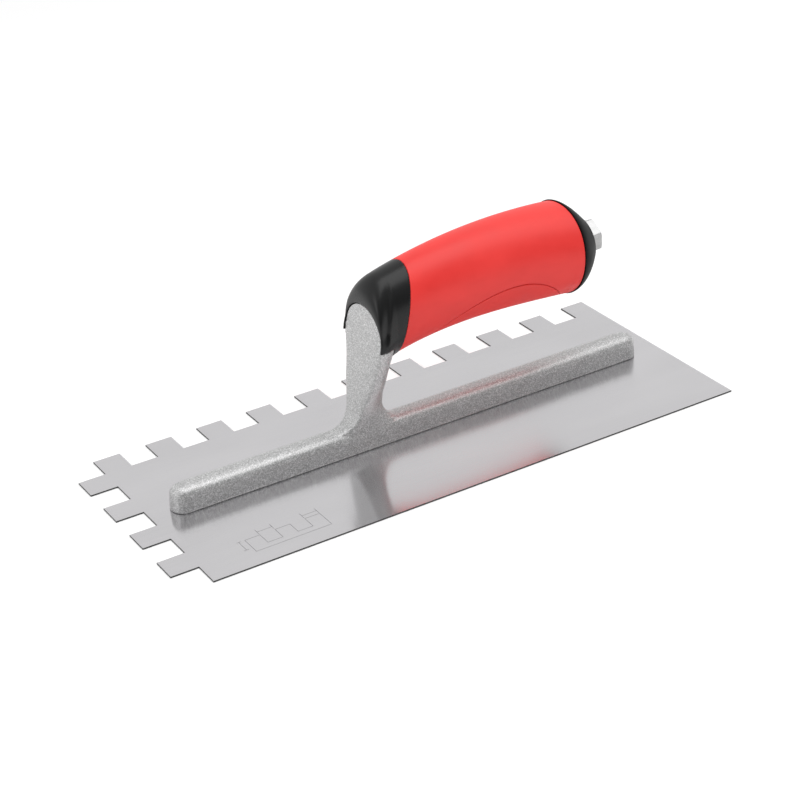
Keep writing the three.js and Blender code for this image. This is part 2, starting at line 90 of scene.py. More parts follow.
LEDGE_Z = 51
LEDGE_END_X = -13.2
SHIELD_CENTRE_Z = 52.7
SHIELD_HALF_WIDTH = 14.6
SHIELD_RISE = 15.5
SHIELD_THICK = 2.2
PLUG_INSET = 1.4
PLUG_BACK_X = -12.8
BOSS_RADIUS = 7.2
BOSS_START_X = -13.5
BOSS_END_X = -8

ROD_RADIUS = 4
ROD_TILT = math.radians(4.5)
ROD_START = -15
ROD_END = 103.4
ROD_ORIGIN_Z = 60

HANDLE_N = 2.08
HANDLE_START = -3.7
HANDLE_SPAN = 88
COLLAR_JOINT_X = -3.3
COLLAR_JOINT_LEAN = 0.2
COLLAR_JOINT_RADIUS = 70
HALF_HEIGHT_Z = 64.7
CAP_JOINT_X = 83.1
CAP_JOINT_LEAN = 0.044
CAP_POWER = 1.4
CAP_SAG = 0.45
CAP_LIP = 0.4
CAP_RIM_RADIUS = 11
CAP_RIM = 97
CORE_INSET = 3
CORE_ENDS = (-2, 82)

HOOD_FRONT_X = -19.7
HOOD_LENGTH = 9.3
HOOD_POWER = 2.7
HOOD_RADIUS = 16
HOOD_SIDE_FLARE = 1.9
HOOD_FOOT = 9
HOOD_RIM_ROUND = 0.5
BAND_LENGTH = 9

WELL_RADIUS = 8.5
WELL_FLOOR = 92.2
WASHER = {"start": 92.5, "thick": 1.3, "outer": 8.0}
SPRING = {"start": 94.1, "thick": 1.8, "outer": 6.8}
NUT = {"start": 96.2, "thick": 7.1, "across": 14, "chamfer": 0.35}
NUT_TURN = math.radians(4)

# ---- Detail that the visual pieces add ----

SETTLE_STEPS = 3
JOINT_GAP = 0.05
ROD_CLEARANCE = 0.3
CORE_CLEARANCE = 0.3
COLLAR_CLEARANCE = 0.15
EDGE_ROUND = 0.22
CAST_VOXEL = 0.45
COLLAR_VOXEL = 0.32
SCOOP_DEPTH = 1.2
SCOOP_STEP = 1.3
SCOOP_LENGTH = 7.5
GRIP_RADIUS = 17.5  # about; turns a width round the grip into an angle
PAD_DEPTH = 1.8
PAD_GAP = 0.3
PAD_FADE = (0.02, 0.25)  # half angles over which the pad reaches its depth
POCKET_GAP = 0.35
POCKET_REACH = 3
MARK_WIDTH = 0.22
THREAD_PITCH = 1.25
THREAD_DEPTH = 0.65

# ---- Camera ----

CAMERA_PLACE = (-0.403547, -0.667400, 0.446304)
CAMERA_AZIMUTH = math.radians(-30.990)
CAMERA_ELEVATION = math.radians(28.890)
CAMERA_ROLL = math.radians(-2.533)
CAMERA_LENS = 90.453


# ---- Numbers ----

def clamp(value, low=0.0, high=1.0):
    return max(low, min(high, value))


def lerp(a, b, t):
    return a + (b - a) * t


def smoothstep(value, low, high):
    t = clamp((value - low) / (high - low))
    return t * t * (3 - 2 * t)


def signed_power(value, power):
    return math.copysign(abs(value) ** power, value)


def full_turn(steps):
    """Evenly spaced angles round a circle."""
    return [2 * math.pi * i / steps for i in range(steps)]


def spline(points, at):
    """Catmull-Rom through (position, value) points, read at a position."""
    for i in range(len(points) - 1):
        if at <= points[i + 1][0] or i == len(points) - 2:
            break
    before = points[max(i - 1, 0)]
    start, end = points[i], points[i + 1]
    after = points[min(i + 2, len(points) - 1)]
    span = end[0] - start[0]
    t = clamp((at - start[0]) / span)
    slope_start = (end[1] - before[1]) / (end[0] - before[0]) * span
    slope_end = (after[1] - start[1]) / (after[0] - start[0]) * span
    return ((2 * t**3 - 3 * t**2 + 1) * start[1] + (t**3 - 2 * t**2 + t) * slope_start
            + (3 * t**2 - 2 * t**3) * end[1] + (t**3 - t**2) * slope_end)


# ---- Meshes ----

def mesh_object(name, points, faces, indices=None):
    """An object from points in millimetres, its doubled points merged and its faces outwards."""
    build = bmesh.new()
    verts = [build.verts.new(Vector(p) * MM) for p in points]
    for number, face in enumerate(faces):
        made = build.faces.new([verts[i] for i in face])
        if indices:
            made.material_index = indices[number]
    bmesh.ops.remove_doubles(build, verts=build.verts, dist=1e-7)
    loose = [edge for edge in build.edges if not edge.link_faces]
    bmesh.ops.delete(build, geom=loose, context="EDGES")
    bmesh.ops.recalc_face_normals(build, faces=build.faces)
    mesh = bpy.data.meshes.new(name)
    build.to_mesh(mesh)
    build.free()
    obj = bpy.data.objects.new(name, mesh)
    bpy.context.scene.collection.objects.link(obj)
    return obj


def loft(name, rings, closed=False):
    """A skin over rings of equal length. Its ends are capped, or joined to each other."""
    count = len(rings[0])
    points = [p for ring in rings for p in ring]
    faces = []
    pairs = len(rings) if closed else len(rings) - 1
    for i in range(pairs):
        here = i * count
        there = ((i + 1) % len(rings)) * count
        for j in range(count):
            k = (j + 1) % count
            faces.append((here + j, here + k, there + k, there + j))
    if not closed:
        faces.append(tuple(range(count)))
        faces.append(tuple(range((len(rings) - 1) * count, len(rings) * count)))
    return mesh_object(name, points, faces)


def box(name, low, high):
    corners = [(x, y, z) for x in (low[0], high[0]) for y in (low[1], high[1])
               for z in (low[2], high[2])]
    faces = [(0, 1, 3, 2), (4, 6, 7, 5), (0, 4, 5, 1), (2, 3, 7, 6), (0, 2, 6, 4), (1, 5, 7, 3)]
    return mesh_object(name, corners, faces)


def lathe(name, profile, start, steps=96):
    """Turns a profile of (distance along, radius) round the threaded rod's axis."""
    rings = []
    for angle in full_turn(steps):
        rings.append([on_rod(start + along, radius * math.cos(angle), radius * math.sin(angle))
                      for along, radius in profile])
    return loft(name, rings, closed=True)


def on_rod(along, y, up):
    """A point given by its distance along the rod and its place across it."""
    return (along * math.cos(ROD_TILT) - up * math.sin(ROD_TILT), y,
            ROD_ORIGIN_Z + along * math.sin(ROD_TILT) + up * math.cos(ROD_TILT))


def remove(obj):
    bpy.data.objects.remove(obj)


def bake_modifiers(obj):
    """Turns the object's modifiers into plain mesh."""
    bpy.context.view_layer.update()
    evaluated = obj.evaluated_get(bpy.context.evaluated_depsgraph_get())
    mesh = bpy.data.meshes.new_from_object(evaluated)
    obj.modifiers.clear()
    obj.data = mesh


def cut(obj, *tools):
    """Takes the tools away from the object, and removes them."""
    for tool in tools:
        modifier = obj.modifiers.new("cut", "BOOLEAN")
        modifier.operation = "DIFFERENCE"
        modifier.solver = "MANIFOLD"
        modifier.object = tool
        bake_modifiers(obj)
        remove(tool)


def join(name, pieces):
    """One object holding the meshes of several, which may run through each other."""
    build = bmesh.new()
    for piece in pieces:
        build.from_mesh(piece.data)
        remove(piece)
    mesh = bpy.data.meshes.new(name)
    build.to_mesh(mesh)
    build.free()
    obj = bpy.data.objects.new(name, mesh)
    bpy.context.scene.collection.objects.link(obj)
    return obj


def voxel_skin(obj, size, smoothing):
    """Replaces the mesh with an even skin over everything in it, then softens its edges."""
    remesh = obj.modifiers.new("skin", "REMESH")
    remesh.mode = "VOXEL"
    remesh.voxel_size = size * MM
    soften = obj.modifiers.new("soften", "SMOOTH")
    soften.factor = 0.5
    soften.iterations = smoothing
    bake_modifiers(obj)


def shade(obj, angle):
    """Smooth shading, with edges sharper than the angle left sharp if one is given."""
    obj.data.polygons.foreach_set("use_smooth", [True] * len(obj.data.polygons))
    if angle is not None:
        obj.data.set_sharp_from_angle(angle=math.radians(angle))
    obj.data.update()


def finish_piece(obj, nodes, slot, *materials, angle=35):
    """Gives a piece its finish and its place in the assembly."""
    shade(obj, angle)
    parts = [min(polygon.material_index, len(materials) - 1) for polygon in obj.data.polygons]
    obj.data.materials.clear()
    for material in materials:
        obj.data.materials.append(material)
    obj.data.polygons.foreach_set("material_index", parts)
    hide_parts(*nodes)
    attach(obj, "root")


# ---- Node materials ----

class Finish:
    """A Principled material, with short ways to add the nodes that drive it."""

    def __init__(self, name, colour, roughness, metallic=0.0, specular=0.5):
        self.material = bpy.data.materials.new(name)
        self.material.use_nodes = True
        self.tree = self.material.node_tree
        self.shader = self.tree.nodes["Principled BSDF"]
        self.shader.inputs["Base Color"].default_value = (*colour, 1)
        self.shader.inputs["Roughness"].default_value = roughness
        self.shader.inputs["Metallic"].default_value = metallic
        self.shader.inputs["Specular IOR Level"].default_value = specular
        self.place = self.add("ShaderNodeTexCoord").outputs["Object"]

    def add(self, kind, **settings):
        node = self.tree.nodes.new(kind)
        for key, value in settings.items():
            setattr(node, key, value)
        return node

    def link(self, source, target):
        self.tree.links.new(source, target)

    def stretched(self, scale):
        """Object coordinates scaled by three numbers, in repeats per millimetre."""
        mapping = self.add("ShaderNodeMapping")
        mapping.inputs["Scale"].default_value = [s / MM for s in scale]
        self.link(self.place, mapping.inputs["Vector"])
        return mapping.outputs["Vector"]

    def noise(self, scale, detail=2.0, roughness=0.5):
        node = self.add("ShaderNodeTexNoise")
        node.inputs["Scale"].default_value = 1
        node.inputs["Detail"].default_value = detail
        node.inputs["Roughness"].default_value = roughness
        self.link(self.stretched(scale), node.inputs["Vector"])
        return node.outputs["Fac"]

    def facets(self, scale):
        """A random value for each cell of a Voronoi pattern."""
        node = self.add("ShaderNodeTexVoronoi")
        node.inputs["Scale"].default_value = 1
        self.link(self.stretched(scale), node.inputs["Vector"])
        split = self.add("ShaderNodeSeparateColor")
        self.link(node.outputs["Color"], split.inputs[0])
        return split.outputs[0]

    def mix(self, first, share, second):
        """The first value times its share, and the second times the rest."""
        rest = self.add("ShaderNodeMath", operation="MULTIPLY")
        rest.inputs[1].default_value = 1 - share
        self.link(second, rest.inputs[0])
        total = self.add("ShaderNodeMath", operation="MULTIPLY_ADD")
        total.inputs[1].default_value = share
        self.link(first, total.inputs[0])
        self.link(rest.outputs[0], total.inputs[2])
        return total.outputs[0]

    def spread(self, value, low, high, start=0.0, end=1.0):
        """Maps start..end to low..high."""
        node = self.add("ShaderNodeMapRange")
        node.inputs["From Min"].default_value = start
        node.inputs["From Max"].default_value = end
        node.inputs["To Min"].default_value = low
        node.inputs["To Max"].default_value = high
        self.link(value, node.inputs["Value"])
        return node.outputs["Result"]

    def ramp(self, value, *stops):
        """Colours by position, as (position, (r, g, b))."""
        node = self.add("ShaderNodeValToRGB")
        elements = node.color_ramp.elements
        while len(elements) < len(stops):
            elements.new(0.5)
        for element, (position, colour) in zip(elements, stops):
            element.position = position
            element.color = (*colour, 1)
        self.link(value, node.inputs["Fac"])
        return node.outputs["Color"]

    def drive(self, socket, value):
        self.link(value, self.shader.inputs[socket])

    def bump(self, height, strength, distance):
        """Adds relief of a depth in millimetres, on top of any that is there."""
        node = self.add("ShaderNodeBump")
        node.inputs["Strength"].default_value = strength
        node.inputs["Distance"].default_value = distance * MM
        self.link(height, node.inputs["Height"])
        previous = self.shader.inputs["Normal"].links
        if previous:
            self.link(previous[0].from_socket, node.inputs["Normal"])
        self.link(node.outputs["Normal"], self.shader.inputs["Normal"])


def grey(value, tint=0.0):
    """A grey, a little bluer for a positive tint."""
    return (value * (1 - tint), value, value * (1 + tint))


def brushed_steel():
    """Stainless sheet, finely brushed along the blade, with a faint cloudiness in its polish."""
    finish = Finish("blade_steel", grey(0.7), 0.16, metallic=1)
    streaks = finish.noise((0.02, 5, 5), detail=3, roughness=0.6)
    clouds = finish.noise((0.012, 0.03, 0.03), detail=2)
    both = finish.mix(streaks, 0.4, clouds)
    finish.drive("Base Color", finish.ramp(
        both, (0.3, (0.64, 0.63, 0.645)), (0.7, (0.71, 0.70, 0.715))))
    finish.drive("Roughness", finish.spread(both, 0.12, 0.2, 0.3, 0.7))
    finish.shader.inputs["Anisotropic"].default_value = 0.7
    across = finish.add("ShaderNodeCombineXYZ")
    across.inputs["Y"].default_value = 1
    finish.drive("Tangent", across.outputs[0])
    finish.bump(streaks, 0.15, 0.004)
    return finish.material


def cut_edge_painted_shade():
    """The sheared edge of the sheet, dark with painted shade, with fine burr lines across it."""
    # The near-black base grey is painted shade on the sheet's sides, not the steel's own colour.
    finish = Finish("blade_cut_edge", grey(0.05), 0.5, metallic=0.6, specular=0.3)
    lines = finish.noise((3, 3, 0.8), detail=2)
    # The dark greys of this ramp are painted shade; the burr lines through them are the edge's own
    # texture.
    finish.drive("Base Color", finish.ramp(lines, (0.3, grey(0.03)), (0.75, grey(0.1))))
    finish.bump(lines, 0.4, 0.03)
    return finish.material


def etched_line():
    """The grey chemical marking of the notch diagram."""
    finish = Finish("blade_marking", grey(0.16), 0.5, metallic=0.4)
    wear = finish.noise((1.5, 1.5, 1.5), detail=3)
    finish.drive("Base Color", finish.ramp(wear, (0.35, grey(0.12)), (0.7, grey(0.26))))
    return finish.material


def cast_aluminium():
    """Blasted sand casting: a fine frosty grain in which single facets catch the light."""
    finish = Finish("cast_aluminium", grey(0.5), 0.5, metallic=0.8)
    grain = finish.noise((2.4, 2.4, 2.4), detail=3, roughness=0.6)
    facets = finish.facets((3.1, 3.1, 3.1))
    tone = finish.mix(facets, 0.4, grain)
    finish.drive("Base Color", finish.ramp(
        tone, (0.25, grey(0.32)), (0.5, grey(0.5)), (0.78, grey(0.88))))
    finish.drive("Roughness", finish.spread(facets, 0.38, 0.62))
    finish.bump(grain, 0.5, 0.1)
    finish.bump(facets, 0.25, 0.06)
    return finish.material


def rivet_metal():
    """Peened aluminium, turned smooth with faint rings."""
    finish = Finish("rivet_aluminium", grey(0.55), 0.32, metallic=1)
    grain = finish.noise((2, 2, 2), detail=3)
    finish.drive("Base Color", finish.ramp(grain, (0.3, grey(0.45)), (0.7, grey(0.66))))
    finish.drive("Roughness", finish.spread(grain, 0.24, 0.42, 0.3, 0.7))
    finish.bump(grain, 0.3, 0.03)
    return finish.material


def moulded_plastic(name, dark, light, low, high, specular=0.5):
    """Plastic or soft rubber: slow colour drift, uneven sheen and a fine spark-eroded texture."""
    finish = Finish(name, light, high, specular=specular)
    drift = finish.noise((0.05, 0.08, 0.08), detail=2)
    speckle = finish.noise((2.6, 2.6, 2.6), detail=2)
    finish.drive("Base Color", finish.ramp(drift, (0.3, dark), (0.7, light)))
    finish.drive("Roughness", finish.spread(drift, low, high, 0.3, 0.7))
    finish.bump(speckle, 0.12, 0.03)
    finish.bump(finish.noise((0.35, 0.35, 0.35), detail=1), 0.06, 0.08)
    return finish.material


def zinc_plate():
    """Bright zinc plating with fine turning marks and slight clouding."""
    finish = Finish("zinc_steel", grey(0.5), 0.25, metallic=1)
    marks = finish.noise((0.5, 4, 4), detail=3)
    clouds = finish.noise((0.3, 0.3, 0.3), detail=2)
    finish.drive("Base Color", finish.ramp(clouds, (0.3, grey(0.33)), (0.7, grey(0.42))))
    finish.drive("Roughness", finish.spread(clouds, 0.15, 0.3, 0.3, 0.7))
    finish.bump(marks, 0.2, 0.02)
    return finish.material


# ---- Blade ----

def blade_outline():
    left, right = -BLADE_LENGTH / 2, BLADE_LENGTH / 2
    front, back = -BLADE_WIDTH / 2, BLADE_WIDTH / 2
    outline = [(left + NOTCH, front), (right, front)]
    for tooth in reversed(range(TEETH_ALONG)):
        start = left + (2 * tooth + 1) * NOTCH
        outline += [(start + NOTCH, back), (start, back), (start, back - NOTCH)]
        if tooth > 0:
            outline.append((start - NOTCH, back - NOTCH))
    for tooth in reversed(range(TEETH_ACROSS)):
        start = front + (2 * tooth + 1) * NOTCH
        outline += [(left, start + NOTCH), (left, start), (left + NOTCH, start)]
        if tooth > 0:
            outline.append((left + NOTCH, start - NOTCH))
    return outline


def inset_outline(outline, inset):
    """Moves every side of an anticlockwise outline of square corners inwards."""
    moved = []
    for i, (x, y) in enumerate(outline):
        before = Vector((x, y)) - Vector(outline[i - 1])
        after = Vector(outline[(i + 1) % len(outline)]) - Vector((x, y))
        before.normalize()
        after.normalize()
        inwards = Vector((-before.y, before.x)) + Vector((-after.y, after.x))
        moved.append((x + inwards.x * inset, y + inwards.y * inset))
    return moved


def rivet_places():
    first = BAR_MIDDLE_X - BAR_LENGTH / 2 + RIVET_END_MARGIN
    pitch = (BAR_LENGTH - 2 * RIVET_END_MARGIN) / (RIVETS - 1)
    return [first + i * pitch for i in range(RIVETS)]


def circle(centre_x, radius, steps=32):
    return [(centre_x + radius * math.cos(a), radius * math.sin(a)) for a in full_turn(steps)]


def stroke(points, width):
    """Thin rectangles along a line of points."""
    strips = []
    for a, b in zip(points, points[1:]):
        a, b = Vector(a), Vector(b)
        along = (b - a).normalized()
        side = Vector((-along.y, along.x)) * width / 2
        start, end = a - along * width / 2, b + along * width / 2
        strips.append([start - side, end - side, end + side, start + side])
    return strips


def diagram_strips():
    """A plain line drawing of the blade's teeth, with measuring ticks by a notch and a tooth."""
    unit, depth, back = 7.1, 6.9, 3.2
    left, top = -102.6, -38.0
    teeth = 3
    aside, tick = 2.8, 1.0
    tick_low, tick_high = top + 0.6, top + 4.6
    floor_y = top - depth
    comb = [(left, floor_y - back)]
    for tooth in range(teeth):
        x = left + 2 * tooth * unit
        comb += [(x, top), (x + unit, top)]
        if tooth < teeth - 1:
            comb += [(x + unit, floor_y), (x + 2 * unit, floor_y)]
    comb += [(left + (2 * teeth - 1) * unit, floor_y - back), comb[0]]
    lines = [comb, [(left - aside, top), (left - aside, floor_y)]]
    lines += [[(left - aside - tick, y), (left - aside + tick, y)] for y in (top, floor_y)]
    middle = (tick_low + tick_high) / 2
    for start in (left + unit, left + 4 * unit):
        lines += [[(x, tick_low), (x, tick_high)] for x in (start, start + unit)]
        lines.append([(start, middle), (start + unit, middle)])
    return [strip for line in lines for strip in stroke(line, MARK_WIDTH)]


def flat_region(outline, holes, strips):
    """Triangles of a flat outline with holes in it, and which of them lie in the strips."""
    points, edges = [], []
    for loop in [outline, *holes, *strips]:
        first = len(points)
        points += [Vector(p) for p in loop]
        edges += [(first + i, first + (i + 1) % len(loop)) for i in range(len(loop))]
    corners, _, faces, *_ = delaunay_2d_cdt(points, edges, [], 0, 1e-5)
    kept, marked = [], []
    for face in faces:
        middle = sum((corners[i] for i in face), Vector((0, 0))) / len(face)
        if not inside(middle, outline) or any(inside(middle, hole) for hole in holes):
            continue
        kept.append(face)
        marked.append(any(inside(middle, strip) for strip in strips))
    return [tuple(c) for c in corners], kept, marked


def inside(point, loop):
    """Whether a line from the point crosses the loop an odd number of times."""
    crossings = False
    for i in range(len(loop)):
        ax, ay = loop[i - 1]
        bx, by = loop[i]
        if (ay > point.y) != (by > point.y):
            crossing_x = (bx - ax) * (point.y - ay) / (by - ay) + ax
            if point.x < crossing_x:
                crossings = not crossings
    return crossings


def blade():
    """The notched sheet with softened edges, countersunk rivet holes and the marking on top."""
    ease = 0.1
    # The sheet's sides and the rivet holes' walls take the cut-edge finish, whose dark colour is
    # painted shade.
    surface, edge, marking = range(3)
    outline = blade_outline()
    eased = inset_outline(outline, ease)
    places = rivet_places()
    head = [circle(x, RIVET_HEAD_RADIUS + JOINT_GAP) for x in places]
    neck = [circle(x, RIVET_RADIUS + JOINT_GAP) for x in places]
    points, faces, indices = [], [], []

    def add(loop_points, z):
        first = len(points)
        points.extend((x, y, z) for x, y in loop_points)
        return first

    def wall(low, high, count):
        for i in range(count):
            j = (i + 1) % count
            faces.append((low + i, low + j, high + j, high + i))
            indices.append(edge)

    for z, holes, strips in ((BLADE_THICK, neck, diagram_strips()), (0, head, [])):
        corners, kept, marked = flat_region(eased, holes, strips)
        first = add(corners, z)
        for face, mark in zip(kept, marked):
            faces.append(tuple(first + i for i in face))
            indices.append(marking if mark else surface)
    levels = [add(eased, 0), add(outline, ease), add(outline, BLADE_THICK - ease),
              add(eased, BLADE_THICK)]
    for low, high in zip(levels, levels[1:]):
        wall(low, high, len(outline))
    for low_loop, high_loop in zip(head, neck):
        wall(add(low_loop, 0), add(high_loop, BLADE_THICK), len(low_loop))
    obj = mesh_object("steel_blade", points, faces, indices)
    finish_piece(obj, ["blade"], "blade_steel", brushed_steel(), cut_edge_painted_shade(), etched_line(),
                 angle=20)


def rivets():
    """Countersunk rivets, flush with the underside, with a faint dish ground into each head."""
    metal = rivet_metal()
    ease, rim, dish = 0.3, 0.12, 0.1
    profile = [(RIVET_TOP, 0), (RIVET_TOP, RIVET_RADIUS - ease), (RIVET_TOP - ease, RIVET_RADIUS),
               (BLADE_THICK, RIVET_RADIUS), (rim, RIVET_HEAD_RADIUS),
               (rim / 4, RIVET_HEAD_RADIUS - 0.1), (0, RIVET_HEAD_RADIUS - 0.35),
               (0.02, RIVET_HEAD_RADIUS - 1.2), (dish, RIVET_HEAD_RADIUS - 1.5), (dish, 0)]
    for number, x in enumerate(rivet_places(), 1):
        rings = [[(x + r * math.cos(angle), r * math.sin(angle), z) for z, r in profile]
                 for angle in full_turn(40)]
        obj = loft(f"blade_rivet_{number}", rings, closed=True)
        finish_piece(obj, [f"rivet_{number}"], "rivet_aluminium", metal)


# ---- Mounting casting ----

def stadium_ring(inset, z, steps=20):
    radius = BAR_WIDTH / 2 - inset
    reach = (BAR_LENGTH - BAR_WIDTH) / 2
    ring = []
    for side in (1, -1):
        for step in range(steps + 1):
            angle = math.pi * step / steps - side * math.pi / 2
            x = BAR_MIDDLE_X + side * reach + radius * math.cos(angle)
            ring.append((x, radius * math.sin(angle), z))
    return ring


def bar():
    """The bar along the blade: drafted sides under a crowned top."""
    rings = [stadium_ring(0, BAR_BASE), stadium_ring(BAR_DRAFT, BAR_SHOULDER)]
    crown_steps = 16
    crown_arc = math.radians(88)
    half_width = BAR_WIDTH / 2 - BAR_DRAFT
    for step in range(1, crown_steps + 1):
        angle = crown_arc * step / crown_steps
        inset = BAR_DRAFT + half_width * (1 - math.cos(angle) ** (2 / BAR_CROWN_POWER))
        rise = (BAR_TOP - BAR_SHOULDER) * math.sin(angle) ** (2 / BAR_CROWN_POWER)
        rings.append(stadium_ring(inset, BAR_SHOULDER + rise))
    return loft("bar", rings)


def face_x(z):
    """Where the post's front face is at a height: upright at the shield, leaning out below it."""
    down = clamp((FACE_LEAN_TOP - z) / (FACE_LEAN_TOP - FACE_LEAN_BOTTOM))
    return FACE_X - FACE_LEAN * down**1.3


def flare(size, z):
    """How far the post spreads along the bar at a height, in a quarter ellipse."""
    to_foot = clamp(1 - (z - FLARE_FOOT) / size[1])
    return size[0] * (1 - math.sqrt(1 - to_foot * to_foot))


def post_ring(z, grow):
    """The post's outline at a height: nearly square in front, round behind."""
    half_width = spline(POST_HALF_WIDTHS, z) + grow
    front = face_x(z) - flare(FLARE_FRONT, z) - grow
    widest = face_x(z) + POST_SIDE_DEPTH
    back = (face_x(max(z, POST_WAIST_Z)) + POST_SIDE_DEPTH + POST_BACK_BULGE
            + flare(FLARE_BACK, z) + grow)
    toe = lerp(TOE_HALF_WIDTH, half_width, math.sqrt(clamp((z - FLARE_FOOT) / TOE_RISE)))
    ring = []
    for angle in full_turn(96):
        is_front = math.cos(angle) < 0
        depth = widest - front if is_front else back - widest
        power = POST_FRONT_POWER if is_front else 1
        out = signed_power(math.cos(angle), power)
        width = lerp(half_width, toe, out * out) if is_front else half_width
        ring.append((widest + depth * out, width * signed_power(math.sin(angle), power), z))
    return ring


def post(grow=0.0):
    rings = []
    inside_bar, level = 2, 0.5
    z = FLARE_FOOT - inside_bar
    while z < LEDGE_Z:
        rings.append(post_ring(z, grow))
        z += level
    rings.append(post_ring(LEDGE_Z, grow))
    return loft("post", rings)


def arch(name, front, back, grow, steps=72):
    """An arch on a short straight foot, seen from the front, between two depths given by height."""
    thinnest = 0.01
    width, rise = SHIELD_HALF_WIDTH + grow, SHIELD_RISE + grow
    levels = [(LEDGE_Z - 1, width), (SHIELD_CENTRE_Z, width)]
    for step in range(1, steps + 1):
        angle = math.pi / 2 * step / steps
        levels.append((SHIELD_CENTRE_Z + rise * math.sin(angle),
                       max(width * math.cos(angle), thinnest)))
    return loft(name, [[(front(z), -w, z), (front(z), w, z), (back(z), w, z), (back(z), -w, z)]
                       for z, w in levels])


def shield():
    return arch("shield", face_x, lambda z: face_x(z) + SHIELD_THICK, 0)


def plug(grow=0.0):
    """The part of the casting behind the shield that fills the collar's mouth."""
    return arch("plug", lambda z: face_x(z) + SHIELD_THICK / 2, lambda z: PLUG_BACK_X + grow,
                grow - PLUG_INSET)


def rod_circle(along, radius, steps):
    """A circle round the rod's axis, from the side."""
    return [on_rod(along, radius * math.cos(a), radius * math.sin(a)) for a in full_turn(steps)]


def rod_circle_from_below(along, radius, steps):
    """The same circle with its first point at the bottom, as in the handle's sections."""
    return [on_rod(along, radius * math.sin(a), -radius * math.cos(a)) for a in full_turn(steps)]


def rod_cylinder(name, radius, start, end, steps=64):
    return loft(name, [rod_circle(along, radius, steps) for along in (start, end)])


def casting():
    """Bar, post, shield, plug and boss as one cast piece, with fillets where they meet."""
    boss = rod_cylinder("boss", BOSS_RADIUS, BOSS_START_X, BOSS_END_X)
    obj = join("mounting", [bar(), post(), shield(), plug(), boss])
    voxel_skin(obj, CAST_VOXEL, 3)
    finish_piece(obj, ["mounting_casting"], "cast_aluminium", cast_aluminium(), angle=None)


# ---- Handle ----

def handle_section(x):
    """The handle's section at x: its middle height, half height and half width."""
    t = (x - HANDLE_START) / HANDLE_SPAN
    middle = 63.24 + 20.72 * t - 22.53 * t * t + 5.91 * t * t * t
    half_height = 19.74 - 0.24 * t + 6.28 * t * t - 4.8 * t * t * t
    half_width = 14.48 + 4.92 * t + 1.86 * t * t
    return middle, half_height, half_width


def section_point(x, angle, section, inset=0.0):
    """A point of the section, by its angle up from the bottom."""
    middle, half_height, half_width = section
    power = 2 / HANDLE_N
    return (x, (half_width - inset) * signed_power(math.sin(angle), power),
            middle - (half_height - inset) * signed_power(math.cos(angle), power))


def collar_joint(y, z):
    """Where along the handle the collar meets the grip."""
    bow = y * y / (2 * COLLAR_JOINT_RADIUS)
    return COLLAR_JOINT_X + COLLAR_JOINT_LEAN * (z - HALF_HEIGHT_Z) - bow


def cap_joint(z):
    """Where along the handle the grip meets the cap."""
    return CAP_JOINT_X + CAP_JOINT_LEAN * (z - HALF_HEIGHT_Z)


def grip_point(run, angle, inset=0.0):
    """A point on the grip: run goes from 0 at the collar to 1 at the cap.

    Both joints lean and bow, so x depends on the point's own height and is settled in a few steps.
    """
    x = lerp(COLLAR_JOINT_X, CAP_JOINT_X, run)
    for _ in range(SETTLE_STEPS):
        _, y, z = section_point(x, angle, handle_section(x), inset)
        start = collar_joint(y, z) + JOINT_GAP
        end = cap_joint(z) - JOINT_GAP
        x = lerp(start, end, run)
    return section_point(x, angle, handle_section(x), inset)


def bezier(a, b, c, d, t):
    return a * (1 - t) ** 3 + 3 * b * t * (1 - t) ** 2 + 3 * c * t * t * (1 - t) + d * t**3


def pad_edge_table():
    """The upper edge of the palm pad in the side view, as (x, z) points."""
    crest = (49, 64.2)
    rise = [Vector(p) for p in ((1, 44), (16, 56), (34, crest[1]), crest)]
    fall = [Vector(p) for p in (crest, (62, crest[1]), (73, 57), (79.5, 44))]
    steps = 60
    points = [bezier(*rise, i / steps) for i in range(steps)]
    points += [bezier(*fall, i / steps) for i in range(steps + 1)]
    return points


PAD_EDGE = pad_edge_table()


def pad_height(x):
    """The height of the pad's upper edge at x."""
    for a, b in zip(PAD_EDGE, PAD_EDGE[1:]):
        if a.x <= x <= b.x:
            return lerp(a.y, b.y, (x - a.x) / (b.x - a.x))
    return 0.0


def pad_angle(x):
    """Half the angle that the pad takes of the section at x."""
    middle, half_height, _ = handle_section(x)
    share = (middle - pad_height(x)) / half_height
    if share >= 1:
        return 0.0
    return math.acos(clamp(share, -1, 1) ** (HANDLE_N / 2))


def grip_runs():
    """Stations along the grip as (run, inset at a rounded end)."""
    length = CAP_JOINT_X - COLLAR_JOINT_X
    edge = [(distance / length, depth) for distance, depth in edge_round()]
    count = 120
    middle = [(lerp(edge[-1][0], 1 - edge[-1][0], i / count), 0.0) for i in range(1, count)]
    return edge + middle + [(1 - run, depth) for run, depth in reversed(edge)]


def edge_round():
    """(distance from the end, depth) round a small edge, starting on the end face."""
    steps = 4
    return [(EDGE_ROUND * (1 - math.cos(math.pi / 2 * i / steps)),
             EDGE_ROUND * (1 - math.sin(math.pi / 2 * i / steps))) for i in range(steps + 1)]


def pad_border(run):
    """Half the angle that the pad takes, this far along the grip."""
    x = lerp(COLLAR_JOINT_X, CAP_JOINT_X, run)
    for _ in range(SETTLE_STEPS):
        border = pad_angle(x)
        x = grip_point(run, border)[0]
    return border


